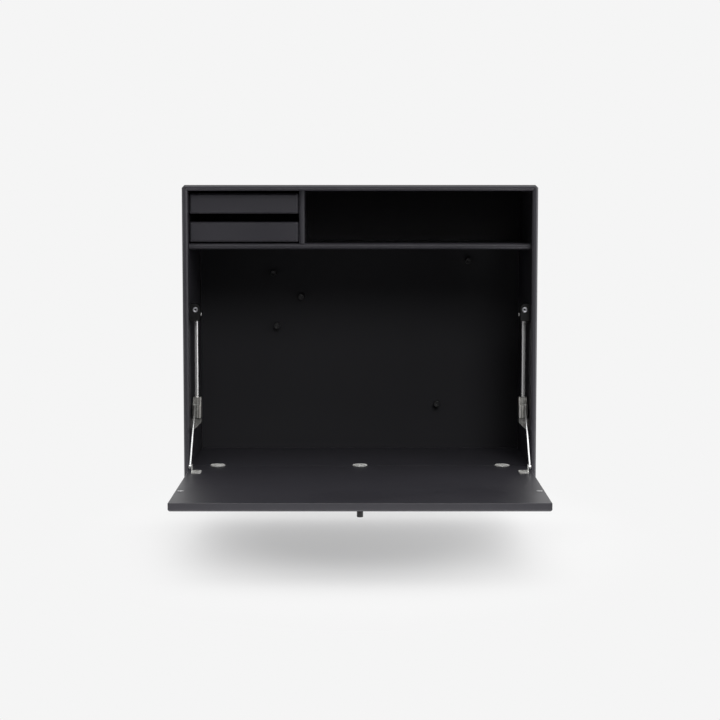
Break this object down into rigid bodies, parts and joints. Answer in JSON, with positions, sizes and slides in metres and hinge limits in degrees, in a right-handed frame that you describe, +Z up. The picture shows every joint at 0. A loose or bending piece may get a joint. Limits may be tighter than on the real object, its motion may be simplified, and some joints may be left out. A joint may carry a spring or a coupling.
{
  "type": "fold down wall desk",
  "caption": "Wall-hung desk cabinet with drawers and an open bay above a flap that folds down into a writing top, on round hinges and slider-and-arm stays, with a magnetic back.",
  "frame": {"origin": "on the wall plane, in the middle of the four wall screws", "axes": "+Z up, +Y into the wall, so the front faces -Y, +X to the right as seen from the front"},
  "size_m": [0.822, 0.8394, 0.6926],
  "materials": {
    "lacquered_board": "dense fibre board, matt anthracite lacquer",
    "drawer_board": "fibre board, matt anthracite lacquer, inside of the drawers",
    "painted_steel_sheet": "steel sheet, matt anthracite powder coat",
    "chromed_steel": "polished chrome",
    "zinc_casting": "zinc casting, satin nickel",
    "hinge_nickel": "zinc casting, satin nickel",
    "bright_steel": "turned steel, nickel plated",
    "black_plastic": "moulded black plastic",
    "runner_plastic": "extruded black plastic",
    "black_metal": "turned metal, black lacquer",
    "galvanised_steel": "bent sheet steel, zinc plated",
    "screw_steel": "zinc plated steel"
  },
  "bodies": {
    "cabinet": {"top_panel": "lacquered_board", "bottom_panel": "lacquered_board", "left_side_panel": "lacquered_board", "right_side_panel": "lacquered_board", "floor_board": "lacquered_board", "shelf": "lacquered_board", "divider": "lacquered_board", "back_board": "lacquered_board", "steel_back_sheet": "painted_steel_sheet", "left_hanger": "galvanised_steel", "right_hanger": "galvanised_steel", "left_wall_plate": "galvanised_steel", "right_wall_plate": "galvanised_steel", "upper_left_runner": "runner_plastic", "upper_right_runner": "runner_plastic", "lower_left_runner": "runner_plastic", "lower_right_runner": "runner_plastic", "left_hinge_floor_half": "hinge_nickel", "centre_hinge_floor_half": "hinge_nickel", "right_hinge_floor_half": "hinge_nickel", "left_stay_rod": "chromed_steel", "right_stay_rod": "chromed_steel", "left_rod_foot": "zinc_casting", "right_rod_foot": "zinc_casting", "left_catch_block": "black_plastic", "right_catch_block": "black_plastic", "left_catch_magnet": "bright_steel", "right_catch_magnet": "bright_steel", "cabinet_screws": "screw_steel"},
    "flap": {"flap_panel": "lacquered_board", "left_hinge_flap_half": "hinge_nickel", "centre_hinge_flap_half": "hinge_nickel", "right_hinge_flap_half": "hinge_nickel", "hinge_pins": "screw_steel", "left_flap_bracket": "zinc_casting", "right_flap_bracket": "zinc_casting", "bracket_screws": "screw_steel", "left_strike_disc": "bright_steel", "right_strike_disc": "bright_steel", "flap_knob": "black_metal", "knob_stud": "screw_steel"},
    "left_arm": {"left_stay_arm": "chromed_steel"},
    "left_slider": {"left_slider": "zinc_casting"},
    "right_arm": {"right_stay_arm": "chromed_steel"},
    "right_slider": {"right_slider": "zinc_casting"},
    "upper_drawer": {"upper_drawer_front": "lacquered_board", "upper_drawer_left_side": "drawer_board", "upper_drawer_right_side": "drawer_board", "upper_drawer_back": "drawer_board", "upper_drawer_bottom": "drawer_board"},
    "lower_drawer": {"lower_drawer_front": "lacquered_board", "lower_drawer_left_side": "drawer_board", "lower_drawer_right_side": "drawer_board", "lower_drawer_back": "drawer_board", "lower_drawer_bottom": "drawer_board"},
    "magnet_1": {"board_magnet_1": "black_metal"},
    "magnet_2": {"board_magnet_2": "black_metal"},
    "magnet_3": {"board_magnet_3": "black_metal"},
    "magnet_4": {"board_magnet_4": "black_metal"},
    "magnet_5": {"board_magnet_5": "black_metal"}
  },
  "joints": [
    {"name": "flap_close", "type": "hinge", "parent": "cabinet", "child": "flap", "pos_m": [0, -0.32, -0.5988], "axis": [-1, 0, 0], "range_deg": [0, 90]},
    {"name": "left_arm_swing", "type": "hinge", "parent": "flap", "child": "left_arm", "pos_m": [-0.389, -0.424, -0.5838], "axis": [1, 0, 0], "range_deg": [0, 132.5]},
    {"name": "left_slider_lift", "type": "slide", "parent": "cabinet", "child": "left_slider", "axis": [0, 0, 1], "range_m": [0, 0.1407]},
    {"name": "right_arm_swing", "type": "hinge", "parent": "flap", "child": "right_arm", "pos_m": [0.389, -0.424, -0.5838], "axis": [1, 0, 0], "range_deg": [0, 132.5]},
    {"name": "right_slider_lift", "type": "slide", "parent": "cabinet", "child": "right_slider", "axis": [0, 0, 1], "range_m": [0, 0.1407]},
    {"name": "upper_drawer_slide", "type": "slide", "parent": "cabinet", "child": "upper_drawer", "axis": [0, -1, 0], "range_m": [0, 0.2]},
    {"name": "lower_drawer_slide", "type": "slide", "parent": "cabinet", "child": "lower_drawer", "axis": [0, -1, 0], "range_m": [0, 0.2]},
    {"name": "magnet_1_pull", "type": "slide", "parent": "cabinet", "child": "magnet_1", "axis": [0, -1, 0], "range_m": [0, 0.04]},
    {"name": "magnet_2_pull", "type": "slide", "parent": "cabinet", "child": "magnet_2", "axis": [0, -1, 0], "range_m": [0, 0.04]},
    {"name": "magnet_3_pull", "type": "slide", "parent": "cabinet", "child": "magnet_3", "axis": [0, -1, 0], "range_m": [0, 0.04]},
    {"name": "magnet_4_pull", "type": "slide", "parent": "cabinet", "child": "magnet_4", "axis": [0, -1, 0], "range_m": [0, 0.04]},
    {"name": "magnet_5_pull", "type": "slide", "parent": "cabinet", "child": "magnet_5", "axis": [0, -1, 0], "range_m": [0, 0.04]}
  ],
  "couplings": [
    {"joint": "left_arm_swing", "follows": "flap_close", "ratio": 1.4714},
    {"joint": "left_slider_lift", "follows": "flap_close", "m_per_rad": 0.08952},
    {"joint": "right_arm_swing", "follows": "flap_close", "ratio": 1.4714},
    {"joint": "right_slider_lift", "follows": "flap_close", "m_per_rad": 0.08952}
  ]
}
